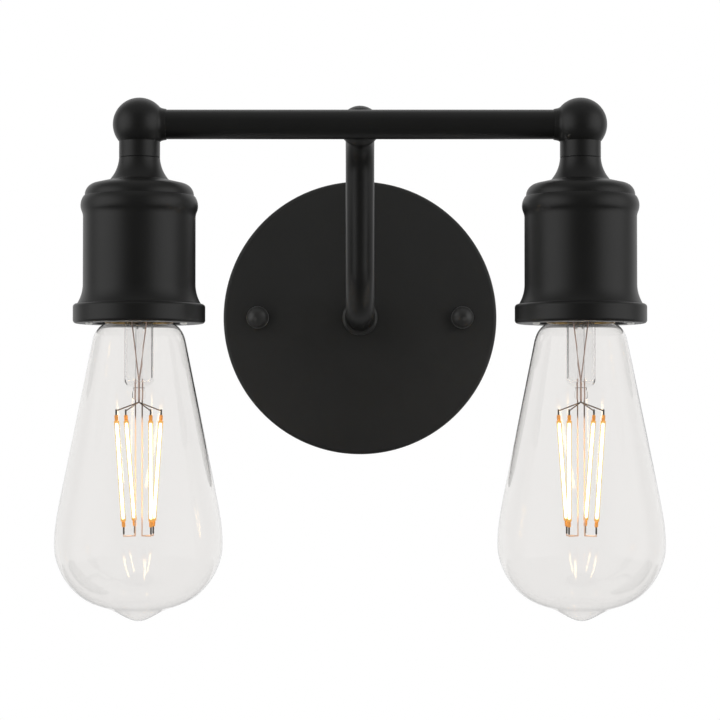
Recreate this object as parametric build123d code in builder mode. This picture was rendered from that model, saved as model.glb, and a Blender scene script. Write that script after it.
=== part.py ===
from build123d import *
from math import cos, radians, sin
import os

os.makedirs("parts", exist_ok=True)

# A two-lamp vanity wall light, in millimetres, +Z up. The wall is the plane Y = 0, the light stands
# out from it towards -Y, and the origin is the centre of the canopy on the wall.

# Clearances
fit_gap = 0.05
running_gap = 0.3

# Canopy, and the strap behind it that is screwed to the junction box
canopy_diameter = 118.8
canopy_depth = 22.0
canopy_wall = 1.2
canopy_edge_round = 1.6
strap_length = 104.0
strap_width = 20.0
strap_thickness = 1.8
strap_corner = 4.0
slot_spacing = 69.85
slot_length = 12.0
slot_width = 4.6
stud_spacing = 88.9
stud_diameter = 4.1
stud_grip = 4.5
stud_nut_width = 7.0
stud_nut_height = 3.0
ball_nut_diameter = 9.6
ball_nut_skirt = 2.4

# Ground screw on the strap, and the ground lead from it to the arm
ground_screw_x = -18.0
ground_screw_diameter = 3.8
ground_head_diameter = 6.8
ground_head_height = 2.2
lug_thickness = 0.8
lug_margin = 0.4
lug_barrel_diameter = 2.2
lug_barrel_length = 5.0
ground_wire_diameter = 1.4
ground_loop_height = 10.0

# Arm: a tube that leaves the canopy, turns up, and turns forward into the hub
arm_diameter = 11.5
tube_wall = 0.9
arm_bend_radius = 17.0
arm_neck = 3.5
collar_diameter = 15.3
collar_thickness = 2.0
collar_chamfer = 1.0
nipple_bore = 7.0
arm_nipple_grip = 8.0
arm_nipple_tail = 2.2
arm_washer_diameter = 14.0
arm_washer_thickness = 0.8
arm_nut_width = 14.0
arm_nut_height = 4.0

# Crossbar, and the ball hub behind its middle
bar_diameter = 11.5
bar_reach = 125.0
bar_height = 70.75
lamp_spacing = 171.5
hub_diameter = 16.2
hub_setback = 6.0
hub_socket = 3.5
passage_diameter = 6.8

# Ball elbow at each end of the bar
elbow_ball_diameter = 20.8
elbow_neck_diameter = 15.9
elbow_drop = 13.15
boss_root_diameter = 15.0
boss_root_length = 7.0
boss_waist_diameter = 12.8
boss_waist_length = 8.4
boss_waist_round = 2.5
boss_tip_diameter = 12.0
boss_length = 10.4
bar_seat = 4.0
elbow_nipple_diameter = 9.6
elbow_nipple_grip = 6.3

# Socket cup, from the seam under the elbow down to its foot
trumpet_height = 9.0
trumpet_waist_height = 3.4
trumpet_waist_diameter = 18.8
trumpet_foot_diameter = 23.2
shoulder_height = 6.0
shoulder_rise = 4.6
shoulder_diameter = 42.3
shoulder_flat_diameter = 35.1
groove_height = 0.3
bead_start_diameter = 42.4
bead_diameter = 45.5
bead_rise = 3.7
bead_fall = 6.6
body_diameter = 43.6
body_length = 23.4
flare_length = 7.8
foot_diameter = 48.0
cup_bore = 38.8
cup_roof = 3.8

# Rim ring under the cup, with its screws
rim_wall = 1.55
rim_height = 7.6
rim_base = 2.5
rim_mouth = 35.2
rim_edge_round = 1.3
rim_screw_count = 3
rim_screw_diameter = 2.0
rim_screw_length = 6.5
rim_screw_head_diameter = 2.8
rim_screw_head_height = 0.8

# Lock washer and nut in the cup, and the lampholder hung on the nipple
cup_washer_diameter = 17.0
cup_washer_thickness = 0.8
cup_nut_width = 14.0
cup_nut_height = 3.4
holder_gap = 1.5
holder_diameter = 34.0
holder_cap_height = 10.5
holder_cap_roof = 5.2
holder_cavity = 28.0
holder_edge_round = 1.5
holder_floor = 3.5
holder_lip = 1.6
holder_screw_diameter = 2.0
holder_screw_depth = 8.0
holder_screw_head_diameter = 3.6
holder_screw_head_height = 1.2

# Screw shell and centre contact in the lampholder
shell_thickness = 0.45
shell_flange_bore = 16.4
shell_rivet_radius = 10.5
rivet_diameter = 2.2
rivet_head_diameter = 4.4
rivet_head_height = 1.2
contact_height = 1.5
contact_length = 10.0
contact_width = 5.0
contact_leaf = 0.4
contact_tongue = 7.5

# Bulb cap and its thread, one pitch a turn
thread_pitch = 3.629
thread_core_diameter = 24.7
thread_crest_diameter = 26.1
thread_turns = 3.5
thread_root_width = 1.6
thread_crest_width = 0.6
thread_length = 15.5
thread_start = 1.6
cap_wall = 0.4
skirt_diameter = 26.6
skirt_height = 4.2
skirt_recess = 0.4
insulator_height = 3.3
insulator_depth = 1.0
insulator_top_diameter = 10.4
tip_diameter = 9.2
tip_height = 1.3
tip_gap = 0.1
board_thickness = 1.2
board_height = 11.5
board_part_height = 6.0
board_part_depth = 4.0

# Bulb glass: neck in the cap, cone, bowl and pip
glass_wall = 0.8
glass_neck_diameter = 25.2
glass_neck_length = 3.8
glass_length = 115.6
glass_flare_diameter = 32.4
glass_flare_drop = 2.8
cone_top_diameter = 36.4
cone_top_drop = 8.0
cone_end_diameter = 60.0
cone_end_drop = 66.6
bulb_diameter = 65.0
bulb_widest_drop = 86.1
bowl_diameter = 49.0
bowl_rise = 11.8
heel_diameter = 31.6
heel_rise = 6.8
pip_root_diameter = 21.6
pip_root_rise = 4.9
pip_diameter = 12.0
pip_rise = 2.1

# Glass stem, wires and filaments inside the bulb
stem_diameter = 10.9
stem_wall = 1.0
stem_flare_length = 3.4
stem_tube_length = 21.0
stem_pinch_length = 8.0
stem_round = 2.6
stem_neck_diameter = 4.0
stem_neck_length = 2.4
stem_bead_diameter = 5.0
support_wire_diameter = 0.5
lead_spread = 3.5
lead_pinch_spread = 1.0
spider_tab = 1.6
spider_drop = 1.0
post_spread = 1.3
filament_diameter = 2.0
filament_length = 43.3
filament_top_drop = 5.9
filament_top_radius = 9.8
filament_foot_radius = 6.2
filament_top_angles = (33, 303, 127, 213)
filament_foot_angles = (30, 325, 110, 208)
post_foot_drop = 3.5

# Lamp leads and wire connectors
lead_diameter = 1.6
lead_offset = 1.2
lead_side = 1.6
elbow_lead_radius = 5.0
hub_lead_radius = 4.0
canopy_lead_radius = 4.0
terminal_lead_radius = 2.6
connector_mouth_height = 17.0
connector_length = 19.0
connector_mouth_diameter = 10.4
connector_end_diameter = 8.0
connector_hole_diameter = 6.0
connector_hole_depth = 10.0
connector_wire_depth = 8.0

# Places worked out from those sizes
bar_y = -bar_reach
hub_y = bar_y + hub_setback
arm_end_y = hub_y + hub_socket
arm_y = arm_end_y + arm_neck + arm_bend_radius
canopy_face_y = -canopy_depth
canopy_inner_y = canopy_face_y + canopy_wall
arm_washer_y = canopy_inner_y + arm_washer_thickness
arm_lug_y = arm_washer_y + lug_thickness
arm_nut_y = arm_lug_y + arm_nut_height
arm_nipple_y = arm_nut_y + arm_nipple_tail
arm_nipple_diameter = arm_diameter - 2 * (tube_wall + fit_gap)
seam_z = bar_height - elbow_drop
roof_z = seam_z - trumpet_height
groove_z = roof_z - shoulder_height
bead_start_z = groove_z - groove_height
bead_z = bead_start_z - bead_rise
bead_end_z = bead_z - bead_fall
flare_z = bead_end_z - body_length
rim_top_z = flare_z - flare_length
rim_bottom_z = rim_top_z - rim_height
rim_base_z = rim_bottom_z + rim_base
rim_diameter = foot_diameter + 2 * (fit_gap + rim_wall)
rim_screw_radius = (2 * cup_bore + foot_diameter) / 6
cup_roof_z = roof_z - cup_roof
cup_washer_z = cup_roof_z - cup_washer_thickness
cup_nut_z = cup_washer_z - cup_nut_height
holder_top_z = cup_nut_z - holder_gap
holder_split_z = holder_top_z - holder_cap_height
nipple_end_z = holder_top_z - holder_cap_roof
seat_z = rim_bottom_z + skirt_recess
thread_z = seat_z + skirt_height
thread_top_z = thread_z + thread_length
insulator_z = thread_top_z + insulator_height
tip_z = insulator_z + tip_gap + tip_height
floor_z = tip_z + contact_height
terminal_z = floor_z + holder_floor + rivet_head_height
shell_bottom_z = thread_z + running_gap
holder_bottom_z = shell_bottom_z - holder_lip
shell_bore = thread_crest_diameter + 2 * running_gap
shell_diameter = shell_bore + 2 * shell_thickness
glass_tip_z = seat_z - glass_length
flare_top_z = seat_z + glass_neck_length - cap_wall
tube_z = flare_top_z - stem_wall - stem_flare_length
pinch_z = tube_z - stem_tube_length
stem_end_z = pinch_z - stem_pinch_length
spider_z = stem_end_z - spider_drop
filament_top_z = stem_end_z - filament_top_drop
filament_foot_z = filament_top_z - filament_length
post_z = filament_foot_z - post_foot_drop
board_z = thread_z + thread_start
holder_screw_radius = (holder_diameter + holder_cavity) / 4
sides = (("left", -1), ("right", 1))


def save(piece, name):
    """Label a finished piece and write it as its own STEP file."""
    piece.part.label = name
    export_step(piece.part, f"parts/{name}.step")


def turn(plane, *corners, mode=Mode.ADD):
    """Revolve an outline of (radius, height) corners about the plane's Y direction.

    A third value rounds that corner by its radius."""
    with BuildSketch(plane) as profile:
        with BuildLine():
            Polyline(*[corner[:2] for corner in corners], close=True)
        make_face()
        for corner in corners:
            if len(corner) > 2:
                fillet(profile.vertices().sort_by_distance((*corner[:2], 0))[0], corner[2])
    revolve(profile.sketch, axis=Axis(plane.origin, plane.y_dir), mode=mode)


def rod(start, end, diameter, mode=Mode.ADD):
    """Add or cut a straight round rod from one point to another."""
    along = Vector(end) - Vector(start)
    with BuildSketch(Plane(origin=start, z_dir=along)) as section:
        Circle(diameter / 2)
    extrude(section.sketch, amount=along.length, mode=mode)


def run_wire(points, radii, diameter):
    """Sweep a round wire along straight runs joined by tangent arcs."""
    with BuildLine() as route:
        FilletPolyline(*points, radius=radii)
    with BuildSketch(Plane(origin=route.line @ 0, z_dir=route.line % 0)) as section:
        Circle(diameter / 2)
    sweep(section.sketch, path=route.line)


def hex_nut(plane, width, bore, height):
    """Add a hexagon nut on a plane, with its width across flats and its bore."""
    with BuildSketch(plane) as section:
        RegularPolygon(width / 2, 6, major_radius=False)
        Circle(bore / 2, mode=Mode.SUBTRACT)
    extrude(section.sketch, amount=height)


def out_from_wall(x, z):
    """Plane for turning about a line square to the wall: X is radius, Y is distance in front of it."""
    return Plane(origin=(x, 0, z), x_dir=(1, 0, 0), z_dir=(0, 0, -1))


def thread_ridge(place, radius, base, rise, start_z):
    """Add a helical ridge on a bulb's thread line; a negative rise points inwards."""
    with BuildLine() as helix:
        Helix(thread_pitch, thread_turns * thread_pitch, radius, center=(*place, start_z))
    with BuildSketch(Plane(origin=helix.line @ 0, x_dir=(1, 0, 0), z_dir=helix.line % 0)) as section:
        with BuildLine():
            Polyline(
                (base, -thread_root_width / 2),
                (rise, -thread_crest_width / 2),
                (rise, thread_crest_width / 2),
                (base, thread_root_width / 2),
                close=True,
            )
        make_face()
    sweep(section.sketch, path=helix.line, is_frenet=True)


# Canopy: a drawn cover with a hole for the arm's nipple and one for each stud
with BuildPart() as canopy:
    canopy_radius = canopy_diameter / 2
    turn(
        out_from_wall(0, 0),
        (0, canopy_depth),
        (canopy_radius, canopy_depth, canopy_edge_round),
        (canopy_radius, 0),
        (canopy_radius - canopy_wall, 0),
        (canopy_radius - canopy_wall, canopy_depth - canopy_wall, canopy_edge_round - canopy_wall),
        (0, canopy_depth - canopy_wall),
    )
    with BuildSketch(Plane.XZ.offset(canopy_depth)):
        Circle(arm_nipple_diameter / 2 + fit_gap)
        with GridLocations(stud_spacing, 0, 2, 1):
            Circle(stud_diameter / 2 + fit_gap)
    extrude(amount=-canopy_wall, mode=Mode.SUBTRACT)
save(canopy, "canopy")

# Mounting strap: slotted for the box screws, tapped for the studs and the ground screw
with BuildPart() as mounting_strap:
    with BuildSketch(Plane.XZ):
        RectangleRounded(strap_length, strap_width, strap_corner)
        with GridLocations(slot_spacing, 0, 2, 1):
            SlotOverall(slot_length, slot_width, mode=Mode.SUBTRACT)
        with GridLocations(stud_spacing, 0, 2, 1):
            Circle(stud_diameter / 2 + fit_gap, mode=Mode.SUBTRACT)
        with Locations((ground_screw_x, 0)):
            Circle(ground_screw_diameter / 2 + fit_gap, mode=Mode.SUBTRACT)
    extrude(amount=strap_thickness)
save(mounting_strap, "mounting_strap")

# Studs: screwed into the strap, through the canopy, into the ball nuts
stud_length = canopy_depth + stud_grip
with BuildPart() as strap_studs:
    for _, side in sides:
        stud_x = side * stud_spacing / 2
        rod((stud_x, 0, 0), (stud_x, -stud_length, 0), stud_diameter)
save(strap_studs, "strap_studs")

with BuildPart() as stud_lock_nuts:
    for _, side in sides:
        nut_plane = Plane(origin=(side * stud_spacing / 2, -strap_thickness, 0), z_dir=(0, -1, 0))
        hex_nut(nut_plane, stud_nut_width, stud_diameter + 2 * fit_gap, stud_nut_height)
save(stud_lock_nuts, "stud_lock_nuts")

# Ball nuts: a short skirt under a round dome, with a blind hole for the stud
with BuildPart() as canopy_ball_nuts:
    ball_radius = ball_nut_diameter / 2
    hole_radius = stud_diameter / 2 + fit_gap
    dome_y = canopy_depth + ball_nut_skirt
    hole_end = stud_length + fit_gap
    for _, side in sides:
        with BuildSketch(out_from_wall(side * stud_spacing / 2, 0)) as profile:
            with BuildLine():
                Polyline(
                    (0, dome_y + ball_radius),
                    (0, hole_end),
                    (hole_radius, hole_end),
                    (hole_radius, canopy_depth),
                    (ball_radius, canopy_depth),
                    (ball_radius, dome_y),
                )
                RadiusArc((ball_radius, dome_y), (0, dome_y + ball_radius), -ball_radius)
            make_face()
        revolve(profile.sketch, axis=Axis((side * stud_spacing / 2, 0, 0), (0, 1, 0)))
save(canopy_ball_nuts, "canopy_ball_nuts")

# Ground screw: its head clamps the ground lead's lug to the strap
with BuildPart() as ground_screw:
    lug_face = strap_thickness + lug_thickness
    rod((ground_screw_x, 0, 0), (ground_screw_x, -lug_face, 0), ground_screw_diameter)
    rod(
        (ground_screw_x, -lug_face, 0),
        (ground_screw_x, -lug_face - ground_head_height, 0),
        ground_head_diameter,
    )
save(ground_screw, "ground_screw")

# Ground lead: a lug under the screw, a lug on the arm's nipple, and the wire between their barrels
with BuildPart() as ground_lead:
    screw_lug_radius = ground_head_diameter / 2 + lug_margin
    with BuildSketch(Plane.XZ.offset(strap_thickness)) as screw_lug:
        with Locations((ground_screw_x, 0)):
            Circle(screw_lug_radius)
            Circle(ground_screw_diameter / 2 + fit_gap, mode=Mode.SUBTRACT)
    extrude(screw_lug.sketch, amount=lug_thickness)
    barrel_y = -strap_thickness - fit_gap - lug_barrel_diameter / 2
    barrel_z = ground_head_diameter / 2 + fit_gap
    barrel_end_z = barrel_z + lug_barrel_length
    rod((ground_screw_x, barrel_y, barrel_z), (ground_screw_x, barrel_y, barrel_end_z), lug_barrel_diameter)
    nut_corner = arm_nut_width / 2 / cos(radians(30))
    with BuildSketch(Plane.XZ.offset(-arm_washer_y)) as arm_lug:
        Circle(nut_corner + lug_margin)
        Circle(arm_nipple_diameter / 2 + fit_gap, mode=Mode.SUBTRACT)
    extrude(arm_lug.sketch, amount=-lug_thickness)
    arm_barrel_y = canopy_inner_y + fit_gap + lug_barrel_diameter / 2
    arm_barrel_x = -nut_corner - fit_gap
    arm_barrel_end = arm_barrel_x - lug_barrel_length
    rod((arm_barrel_x, arm_barrel_y, 0), (arm_barrel_end, arm_barrel_y, 0), lug_barrel_diameter)
    ground_turn = 2.5 * ground_wire_diameter
    ground_rise_x = arm_barrel_end - 1.5 * ground_turn
    loop_z = barrel_end_z + ground_loop_height
    run_wire(
        [
            (arm_barrel_end, arm_barrel_y, 0),
            (ground_rise_x, arm_barrel_y, 0),
            (ground_rise_x, arm_barrel_y, loop_z),
            (ground_screw_x, barrel_y, loop_z),
            (ground_screw_x, barrel_y, barrel_end_z),
        ],
        [ground_turn] * 3,
        ground_wire_diameter,
    )
save(ground_lead, "ground_lead")

# Arm collar: a thin ring round the arm's root, with a chamfered front edge
with BuildPart() as arm_collar:
    turn(
        out_from_wall(0, 0),
        (arm_diameter / 2 + fit_gap, canopy_depth),
        (collar_diameter / 2, canopy_depth),
        (collar_diameter / 2, canopy_depth + collar_thickness - collar_chamfer),
        (collar_diameter / 2 - collar_chamfer, canopy_depth + collar_thickness),
        (arm_diameter / 2 + fit_gap, canopy_depth + collar_thickness),
    )
save(arm_collar, "arm_collar")

# Arm tube: from the canopy forward, up, and forward again into the hub's socket
with BuildPart() as arm_tube:
    with BuildLine() as arm_route:
        FilletPolyline(
            (0, canopy_face_y, 0),
            (0, arm_y, 0),
            (0, arm_y, bar_height),
            (0, arm_end_y, bar_height),
            radius=arm_bend_radius,
        )
    with BuildSketch(Plane.XZ.offset(canopy_depth)):
        Circle(arm_diameter / 2)
        Circle(arm_diameter / 2 - tube_wall, mode=Mode.SUBTRACT)
    sweep()
save(arm_tube, "arm_tube")

# Arm fastening: threaded nipple in the tube's end, lock washer and lock nut behind the canopy
with BuildPart() as arm_nipple:
    nipple_front = canopy_depth + arm_nipple_grip
    turn(
        out_from_wall(0, 0),
        (nipple_bore / 2, -arm_nipple_y),
        (arm_nipple_diameter / 2, -arm_nipple_y),
        (arm_nipple_diameter / 2, nipple_front),
        (nipple_bore / 2, nipple_front),
    )
save(arm_nipple, "arm_nipple")

with BuildPart() as arm_lock_washer:
    turn(
        out_from_wall(0, 0),
        (arm_nipple_diameter / 2 + fit_gap, -arm_washer_y),
        (arm_washer_diameter / 2, -arm_washer_y),
        (arm_washer_diameter / 2, -canopy_inner_y),
        (arm_nipple_diameter / 2 + fit_gap, -canopy_inner_y),
    )
save(arm_lock_washer, "arm_lock_washer")

with BuildPart() as arm_lock_nut:
    nut_plane = Plane(origin=(0, arm_lug_y, 0), x_dir=(1, 0, 0), z_dir=(0, 1, 0))
    hex_nut(nut_plane, arm_nut_width, arm_nipple_diameter + 2 * fit_gap, arm_nut_height)
save(arm_lock_nut, "arm_lock_nut")

# Hub: a ball cut to saddle the back of the bar, with a socket for the arm and a passage for the leads
with BuildPart() as arm_hub:
    with Locations((0, hub_y, bar_height)):
        Sphere(hub_diameter / 2)
    rod(
        (-hub_diameter, bar_y, bar_height),
        (hub_diameter, bar_y, bar_height),
        bar_diameter + 2 * fit_gap,
        mode=Mode.SUBTRACT,
    )
    hub_back_y = hub_y + hub_diameter
    rod((0, arm_end_y, bar_height), (0, hub_back_y, bar_height), arm_diameter + 2 * fit_gap, Mode.SUBTRACT)
    rod((0, bar_y, bar_height), (0, hub_back_y, bar_height), passage_diameter, Mode.SUBTRACT)
save(arm_hub, "arm_hub")

# Crossbar: a straight tube between the elbows, with a hole at the back for the leads
bar_half = lamp_spacing / 2 - boss_length + bar_seat
with BuildPart() as crossbar:
    with BuildSketch(Plane(origin=(-bar_half, bar_y, bar_height), x_dir=(0, 1, 0), z_dir=(1, 0, 0))):
        Circle(bar_diameter / 2)
        Circle(bar_diameter / 2 - tube_wall, mode=Mode.SUBTRACT)
    extrude(amount=2 * bar_half)
    rod((0, bar_y, bar_height), (0, bar_y + bar_diameter, bar_height), passage_diameter, Mode.SUBTRACT)
save(crossbar, "crossbar")

# Wire connectors: a twist-on cap above the nipple and one below, over the ends of the leads
lead_turn_y = arm_nipple_y + canopy_lead_radius
with BuildPart() as wire_connectors:
    for upward in (1, -1):
        connector_plane = Plane(
            origin=(0, lead_turn_y, upward * connector_mouth_height),
            x_dir=(1, 0, 0),
            z_dir=(0, -upward, 0),
        )
        turn(
            connector_plane,
            (connector_hole_diameter / 2, 0),
            (connector_mouth_diameter / 2, 0),
            (connector_end_diameter / 2, connector_length),
            (0, connector_length),
            (0, connector_hole_depth),
            (connector_hole_diameter / 2, connector_hole_depth),
        )
save(wire_connectors, "wire_connectors")


def cup_outline():
    """Draw the socket cup's half section: trumpet neck, round shoulder, bead, body, flared foot, bore."""
    bore_radius = elbow_nipple_diameter / 2 + fit_gap
    neck_top = (elbow_neck_diameter / 2, seam_z)
    waist = (trumpet_waist_diameter / 2, roof_z + trumpet_waist_height)
    trumpet_foot = (trumpet_foot_diameter / 2, roof_z)
    shoulder_top = (shoulder_flat_diameter / 2, groove_z + shoulder_rise)
    shoulder_edge = (shoulder_diameter / 2, groove_z)
    bead_start = (bead_start_diameter / 2, bead_start_z)
    bead = (bead_diameter / 2, bead_z)
    bead_end = (body_diameter / 2, bead_end_z)
    bead_middle = ((bead_diameter + body_diameter) / 4, (bead_z + bead_end_z) / 2)
    body_end = (body_diameter / 2, flare_z)
    foot = (foot_diameter / 2, rim_top_z)
    ThreePointArc(neck_top, waist, trumpet_foot)
    Line(trumpet_foot, shoulder_top)
    TangentArc(shoulder_edge, shoulder_top, tangent=(0, 1))
    Line(shoulder_edge, bead_start)
    TangentArc(bead, bead_start, tangent=(0, 1))
    bulge = TangentArc(bead, bead_middle, tangent=(0, -1))
    TangentArc(bead_middle, bead_end, tangent=bulge % 1)
    Line(bead_end, body_end)
    TangentArc(body_end, foot, tangent=(0, -1))
    Polyline(
        foot,
        (foot_diameter / 2, rim_base_z),
        (cup_bore / 2, rim_base_z),
        (cup_bore / 2, cup_roof_z),
        (bore_radius, cup_roof_z),
        (bore_radius, seam_z),
        neck_top,
    )


def glass_outline(inset):
    """Draw the bulb glass's half outline from neck to pip, moved in by the inset, and return its ends."""
    neck_top = (glass_neck_diameter / 2 - inset, seat_z + glass_neck_length)
    neck_end = (glass_neck_diameter / 2 - inset, seat_z - inset / 2)
    flare = (glass_flare_diameter / 2 - inset, seat_z - glass_flare_drop - inset / 2)
    cone_top = (cone_top_diameter / 2 - inset, seat_z - cone_top_drop)
    cone_end = (cone_end_diameter / 2 - inset, seat_z - cone_end_drop)
    widest = (bulb_diameter / 2 - inset, seat_z - bulb_widest_drop)
    bowl = (bowl_diameter / 2 - inset / 2, glass_tip_z + bowl_rise + inset)
    heel = (heel_diameter / 2 - inset / 3, glass_tip_z + heel_rise + inset)
    pip_root = (pip_root_diameter / 2 - inset / 3, glass_tip_z + pip_root_rise + inset)
    pip = (pip_diameter / 2 - inset / 3, glass_tip_z + pip_rise + inset)
    tip = (0, glass_tip_z + inset)
    Line(neck_top, neck_end)
    cone = Line(cone_top, cone_end)
    Spline(neck_end, flare, cone_top, tangents=((2, -1), cone % 0))
    bulge = Spline(cone_end, widest, tangents=(cone % 1, (0, -1)))
    Spline(widest, bowl, heel, pip_root, pip, tip, tangents=(bulge % 1, (-1, 0)))
    return neck_top, tip


def bulb_point(side, radius, angle, height):
    """Point at a radius and angle round a bulb's axis; the two bulbs mirror each other."""
    return (
        side * (lamp_spacing / 2 - radius * cos(radians(angle))),
        bar_y + radius * sin(radians(angle)),
        height,
    )


for side_name, side in sides:
    lamp_x = side * lamp_spacing / 2
    lamp_plane = Plane(origin=(lamp_x, bar_y, 0), x_dir=(1, 0, 0), z_dir=(0, -1, 0))
    lamp_axis = Axis((lamp_x, bar_y, 0), (0, 0, 1))

    # Ball elbow: ball, tapered boss for the bar, neck down to the cup, and crossing passages inside
    with BuildPart() as ball_elbow:
        with Locations((lamp_x, bar_y, bar_height)):
            Sphere(elbow_ball_diameter / 2)
        rod((lamp_x, bar_y, bar_height), (lamp_x, bar_y, seam_z), elbow_neck_diameter)
        boss_plane = Plane(origin=(lamp_x, bar_y, bar_height), x_dir=(0, 0, 1), z_dir=(0, -side, 0))
        turn(
            boss_plane,
            (0, 0),
            (boss_root_diameter / 2, 0),
            (boss_root_diameter / 2, boss_root_length),
            (boss_waist_diameter / 2, boss_waist_length, boss_waist_round),
            (boss_tip_diameter / 2, boss_length),
            (0, boss_length),
        )
        boss_x = lamp_x - side * boss_length
        seat_x = boss_x + side * bar_seat
        far_x = lamp_x + side * passage_diameter / 2
        bar_hole = bar_diameter + 2 * fit_gap
        rod((seat_x, bar_y, bar_height), (boss_x, bar_y, bar_height), bar_hole, Mode.SUBTRACT)
        rod((far_x, bar_y, bar_height), (boss_x, bar_y, bar_height), passage_diameter, Mode.SUBTRACT)
        passage_top_z = bar_height + passage_diameter / 2
        rod((lamp_x, bar_y, seam_z), (lamp_x, bar_y, passage_top_z), passage_diameter, Mode.SUBTRACT)
        rod(
            (lamp_x, bar_y, seam_z),
            (lamp_x, bar_y, seam_z + elbow_nipple_grip + fit_gap),
            elbow_nipple_diameter + 2 * fit_gap,
            mode=Mode.SUBTRACT,
        )
    save(ball_elbow, f"{side_name}_ball_elbow")

    # Nipple: threaded tube that ties elbow, cup and lampholder together and carries the leads
    with BuildPart() as elbow_nipple:
        turn(
            lamp_plane,
            (nipple_bore / 2, nipple_end_z),
            (elbow_nipple_diameter / 2, nipple_end_z),
            (elbow_nipple_diameter / 2, seam_z + elbow_nipple_grip),
            (nipple_bore / 2, seam_z + elbow_nipple_grip),
        )
    save(elbow_nipple, f"{side_name}_elbow_nipple")

    # Socket cup, with holes in its foot for the rim's screws
    with BuildPart() as socket_cup:
        with BuildSketch(lamp_plane):
            with BuildLine():
                cup_outline()
            make_face()
        revolve(axis=lamp_axis)
        with BuildSketch(Plane(origin=(lamp_x, bar_y, rim_base_z))):
            with PolarLocations(rim_screw_radius, rim_screw_count, start_angle=90):
                Circle(rim_screw_diameter / 2 + fit_gap)
        extrude(amount=rim_screw_length - rim_base + fit_gap, mode=Mode.SUBTRACT)
    save(socket_cup, f"{side_name}_socket_cup")

    with BuildPart() as cup_lock_washer:
        turn(
            lamp_plane,
            (elbow_nipple_diameter / 2 + fit_gap, cup_washer_z),
            (cup_washer_diameter / 2, cup_washer_z),
            (cup_washer_diameter / 2, cup_roof_z),
            (elbow_nipple_diameter / 2 + fit_gap, cup_roof_z),
        )
    save(cup_lock_washer, f"{side_name}_cup_lock_washer")

    with BuildPart() as cup_lock_nut:
        nut_plane = Plane(origin=(lamp_x, bar_y, cup_nut_z))
        hex_nut(nut_plane, cup_nut_width, elbow_nipple_diameter + 2 * fit_gap, cup_nut_height)
    save(cup_lock_nut, f"{side_name}_cup_lock_nut")

    # Rim ring: a rounded band that takes the cup's foot, with a flat base round the bulb's neck
    with BuildPart() as rim_ring:
        turn(
            lamp_plane,
            (rim_mouth / 2, rim_bottom_z),
            (rim_diameter / 2, rim_bottom_z, rim_edge_round),
            (rim_diameter / 2, rim_top_z, rim_edge_round),
            (foot_diameter / 2 + fit_gap, rim_top_z),
            (foot_diameter / 2 + fit_gap, rim_base_z),
            (rim_mouth / 2, rim_base_z),
        )
        with BuildSketch(Plane(origin=(lamp_x, bar_y, rim_bottom_z))):
            with PolarLocations(rim_screw_radius, rim_screw_count, start_angle=90):
                Circle(rim_screw_diameter / 2 + fit_gap)
        extrude(amount=rim_base, mode=Mode.SUBTRACT)
    save(rim_ring, f"{side_name}_rim_ring")

    with BuildPart() as rim_screws:
        with BuildSketch(Plane(origin=(lamp_x, bar_y, rim_bottom_z))):
            with PolarLocations(rim_screw_radius, rim_screw_count, start_angle=90):
                Circle(rim_screw_diameter / 2)
        extrude(amount=rim_screw_length)
        with BuildSketch(Plane(origin=(lamp_x, bar_y, rim_bottom_z))):
            with PolarLocations(rim_screw_radius, rim_screw_count, start_angle=90):
                Circle(rim_screw_head_diameter / 2)
        extrude(amount=-rim_screw_head_height)
    save(rim_screws, f"{side_name}_rim_screws")

    # Lampholder cap: screwed on the nipple, hollow below for the terminals
    holder_screw_places = [(lamp_x, bar_y + front * holder_screw_radius) for front in (-1, 1)]
    with BuildPart() as holder_cap:
        turn(
            lamp_plane,
            (elbow_nipple_diameter / 2 + fit_gap, nipple_end_z),
            (holder_cavity / 2, nipple_end_z),
            (holder_cavity / 2, holder_split_z),
            (holder_diameter / 2, holder_split_z),
            (holder_diameter / 2, holder_top_z, holder_edge_round),
            (elbow_nipple_diameter / 2 + fit_gap, holder_top_z),
        )
        for place in holder_screw_places:
            hole = holder_screw_diameter + 2 * fit_gap
            rod((*place, holder_split_z), (*place, holder_top_z), hole, Mode.SUBTRACT)
    save(holder_cap, f"{side_name}_holder_cap")

    # Lampholder body: bore for the screw shell below the floor, terminals above it
    rivet_x = lamp_x + side * shell_rivet_radius
    with BuildPart() as holder_body:
        turn(
            lamp_plane,
            (0, floor_z),
            (shell_diameter / 2 + fit_gap, floor_z),
            (shell_diameter / 2 + fit_gap, holder_bottom_z),
            (holder_diameter / 2, holder_bottom_z),
            (holder_diameter / 2, holder_split_z),
            (holder_cavity / 2, holder_split_z),
            (holder_cavity / 2, floor_z + holder_floor),
            (0, floor_z + holder_floor),
        )
        for hole_x in (lamp_x, rivet_x):
            rod(
                (hole_x, bar_y, floor_z),
                (hole_x, bar_y, floor_z + holder_floor),
                rivet_diameter + 2 * fit_gap,
                mode=Mode.SUBTRACT,
            )
        for place in holder_screw_places:
            rod(
                (*place, holder_split_z - holder_screw_depth - fit_gap),
                (*place, holder_split_z),
                holder_screw_diameter + 2 * fit_gap,
                mode=Mode.SUBTRACT,
            )
    save(holder_body, f"{side_name}_holder_body")

    with BuildPart() as holder_screws:
        for place in holder_screw_places:
            point_z = holder_split_z - holder_screw_depth
            head_z = holder_top_z + holder_screw_head_height
            rod((*place, point_z), (*place, holder_top_z), holder_screw_diameter)
            rod((*place, holder_top_z), (*place, head_z), holder_screw_head_diameter)
    save(holder_screws, f"{side_name}_holder_screws")

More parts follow.
